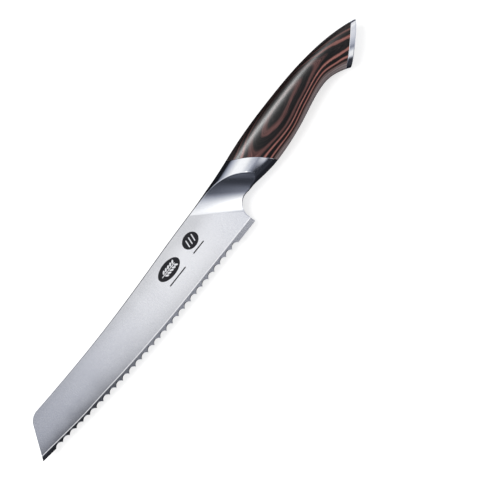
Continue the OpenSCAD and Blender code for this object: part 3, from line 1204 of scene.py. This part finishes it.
def wide_box(g, a, b, x, turn):
    """The wide box overhead."""
    # it fades towards the spine's side and towards the edge's
    light = g.spread(g.minus(turn, g.times(x, 60.0)), 26, 92, 1.1, 0.0)
    front = g.math(
        "MAXIMUM",
        g.spread(b, -54, -29, 0.03, 1.0, smooth=True),
        g.spread(b, -66, -47, 0.03, 0.12),
    )
    corner = g.times(g.spread(a, 47, 56, 0.0, 0.35), g.spread(x, -0.35, -0.15, 1.0, 0.1))
    light = g.times(light, g.math("MAXIMUM", front, corner))
    light = g.times(light, g.spread(b, -82, -56, 0.2, 1.0))
    light = g.times(light, g.spread(b, -24, -15, 1.08, 1.0))
    # it is dimmer over the blade's tip
    slant = g.math("MULTIPLY_ADD", b, 0.3, a)
    heel_side = g.spread(slant, 8, 13.5, 0.0, 1.3, smooth=True)
    heel_side = g.times(heel_side, g.spread(slant, 14, 17, 1.0, 0.0))
    over_blade = g.plus(g.spread(slant, -4, 1, 0.36, 0.62), heel_side)
    light = g.times(light, g.fade(over_blade, g.spread(b, -25, -14, 1.0, 0.0)))
    # its right edge falls away slowly above the diagonal that runs to the lower right
    total = g.plus(a, b)
    right_edge = g.spread(a, 2, 19, 1.0, 0.43, smooth=True)
    right_edge = g.times(right_edge, g.spread(a, 18, 54, 1.0, 0.02, smooth=True))
    light = g.times(light, g.fade(right_edge, g.spread(total, 0, 4.5)))
    # and less high up
    high = g.times(g.spread(total, 33, 42), 0.35)
    return g.plus(light, g.times(high, g.spread(a, 8, 20)))


def low_box(g, a, b):
    """A narrow box low on the right."""
    total = g.plus(a, b)
    light = g.times(
        g.spread(total, 9, 15, 0.0, 1.0, smooth=True), g.spread(total, 23, 31, 1.0, 0.0)
    )
    light = g.times(light, g.spread(a, 30, 37, 0.0, 0.95, smooth=True))
    return g.times(light, g.spread(a, 56, 74, 1.0, 0.0, smooth=True))


def surroundings(g, x, z):
    """The walls and the floor of the studio."""
    # a low wall of light at the tip's and the butt's sides
    low = g.spread(g.math("ABSOLUTE", z), 0.06, 0.2, 0.5, 0.0, smooth=True)
    ends = g.spread(g.math("ABSOLUTE", x), 0.3, 0.42, 0.0, 1.0, smooth=True)
    light = g.plus(g.times(low, ends), g.spread(z, -0.05, 0.08, 0.012, 0.032, smooth=True))
    # pale floor below the blade's front half
    under = g.times(g.spread(z, -0.3, -0.1, 1.0, 0.0), g.spread(x, -0.32, -0.1, 0.6, 0.0))
    return g.plus(light, under)


def canopy_light():
    """Soft boxes in fixed places round the knife. a and b are angles to the right and up of the
    main view's backward direction, in degrees; x, y and z are metres on the canopy's sphere."""
    material, g = new_material("canopy_light")
    place = g.place()
    right, up, back = (
        g.add(
            "ShaderNodeVectorMath", {0: place, 1: tuple(axis)}, output=1, operation="DOT_PRODUCT"
        )
        for axis in view_axes()
    )

    def angle(rise, run):
        return g.times(g.math("ARCTAN2", rise, run), math.degrees(1))

    a, b = angle(right, back), angle(up, back)
    x, y, z = g.axes(place)
    light = g.plus(wide_box(g, a, b, x, angle(y, z)), low_box(g, a, b))
    light = g.plus(light, surroundings(g, x, z))
    # the half-lit parts are bluer
    blue = g.math("MAXIMUM", g.times(light, g.minus(1.0, light)), 0.0)
    colour = g.add(
        "ShaderNodeCombineColor",
        {
            0: g.math("MULTIPLY_ADD", blue, -0.08, light),
            1: light,
            2: g.math("MULTIPLY_ADD", blue, 0.28, light),
        },
    )
    strength = g.add("ShaderNodeEmission", {"Color": colour, "Strength": 1.0})
    g.add("ShaderNodeOutputMaterial", {"Surface": strength})
    material.cycles.emission_sampling = "NONE"
    return material


def make_canopy():
    """A sphere of soft boxes that only gloss can see."""
    radius, rings, sides = 0.55, 24, 48
    points = [(0, 0, radius), (0, 0, -radius)]
    for i in range(1, rings):
        polar = math.pi * i / rings
        wide, level = radius * math.sin(polar), radius * math.cos(polar)
        turns = [2 * math.pi * j / sides for j in range(sides)]
        points += [(wide * math.cos(turn), wide * math.sin(turn), level) for turn in turns]
    faces = [(0, 2 + j, 2 + (j + 1) % sides) for j in range(sides)]
    last = 2 + (rings - 2) * sides
    faces += [(1, last + (j + 1) % sides, last + j) for j in range(sides)]
    faces += dome_faces(2, rings - 1, sides)
    mesh = bpy.data.meshes.new("canopy")
    mesh.from_pydata(points, [], faces)
    mesh.materials.append(canopy_light())
    canopy = new_object("canopy", mesh)
    canopy.location = (0.03, 0.0, 0.01)
    for ray in ("camera", "diffuse", "transmission", "volume_scatter", "shadow"):
        setattr(canopy, "visible_" + ray, False)


def make_lamp(name, energy, aim, centre, distance):
    """An area lamp at a distance along aim from a centre, which it faces."""
    data = bpy.data.lights.new(name, "AREA")
    data.energy = energy
    lamp = new_object(name, data)
    lamp.location = centre + aim * distance
    lamp.rotation_mode = "QUATERNION"
    lamp.rotation_quaternion = aim.to_track_quat("Z", "Y")
    lamp.visible_camera = False
    return lamp


def make_sky():
    """Even pale light, and a large soft lamp on the spine's side that gloss doesn't see."""
    world = bpy.data.worlds.new("studio")
    bpy.context.scene.world = world
    world.use_nodes = True
    g = Graph(world.node_tree)
    background = g.add("ShaderNodeBackground", {"Color": (1.0, 1.0, 1.0, 1), "Strength": 0.75})
    g.add("ShaderNodeOutputWorld", {"Surface": background})
    key = make_lamp("key", 14.0, Vector((-0.3, 0.75, 1.0)).normalized(), Vector(), 1.4)
    key.data.shape, key.data.size = "DISK", 0.9
    key.visible_glossy = False


def make_wood_lamp():
    """A soft strip on the spine's side that glosses the wood alone."""
    turn = math.radians(48)
    aim = Vector((0.0, math.sin(turn), math.cos(turn)))
    strip = make_lamp("wood_strip", 12.0, aim, Vector(to_frame([BLADE_L + 60, 15, 0])), 0.5)
    strip.data.shape, strip.data.size, strip.data.size_y = "RECTANGLE", 0.3, 0.16
    strip.visible_diffuse = False
    grip = bpy.data.collections.new("grip")
    for name in ("left_scale_wood", "right_scale_wood"):
        grip.objects.link(bpy.data.objects[name])
    strip.light_linking.receiver_collection = grip


def set_colour():
    """Colours as lit, with no film curve."""
    view = bpy.context.scene.view_settings
    view.view_transform = "Standard"
    view.look = "None"


dress_cad_nodes()
make_scale("left_scale_wood", 1, "left_scale")
make_scale("right_scale_wood", -1, "right_scale")
make_blade()
make_marks()
make_bolster()
make_cap()
make_camera()
make_floor()
make_canopy()
make_sky()
make_wood_lamp()
set_colour()
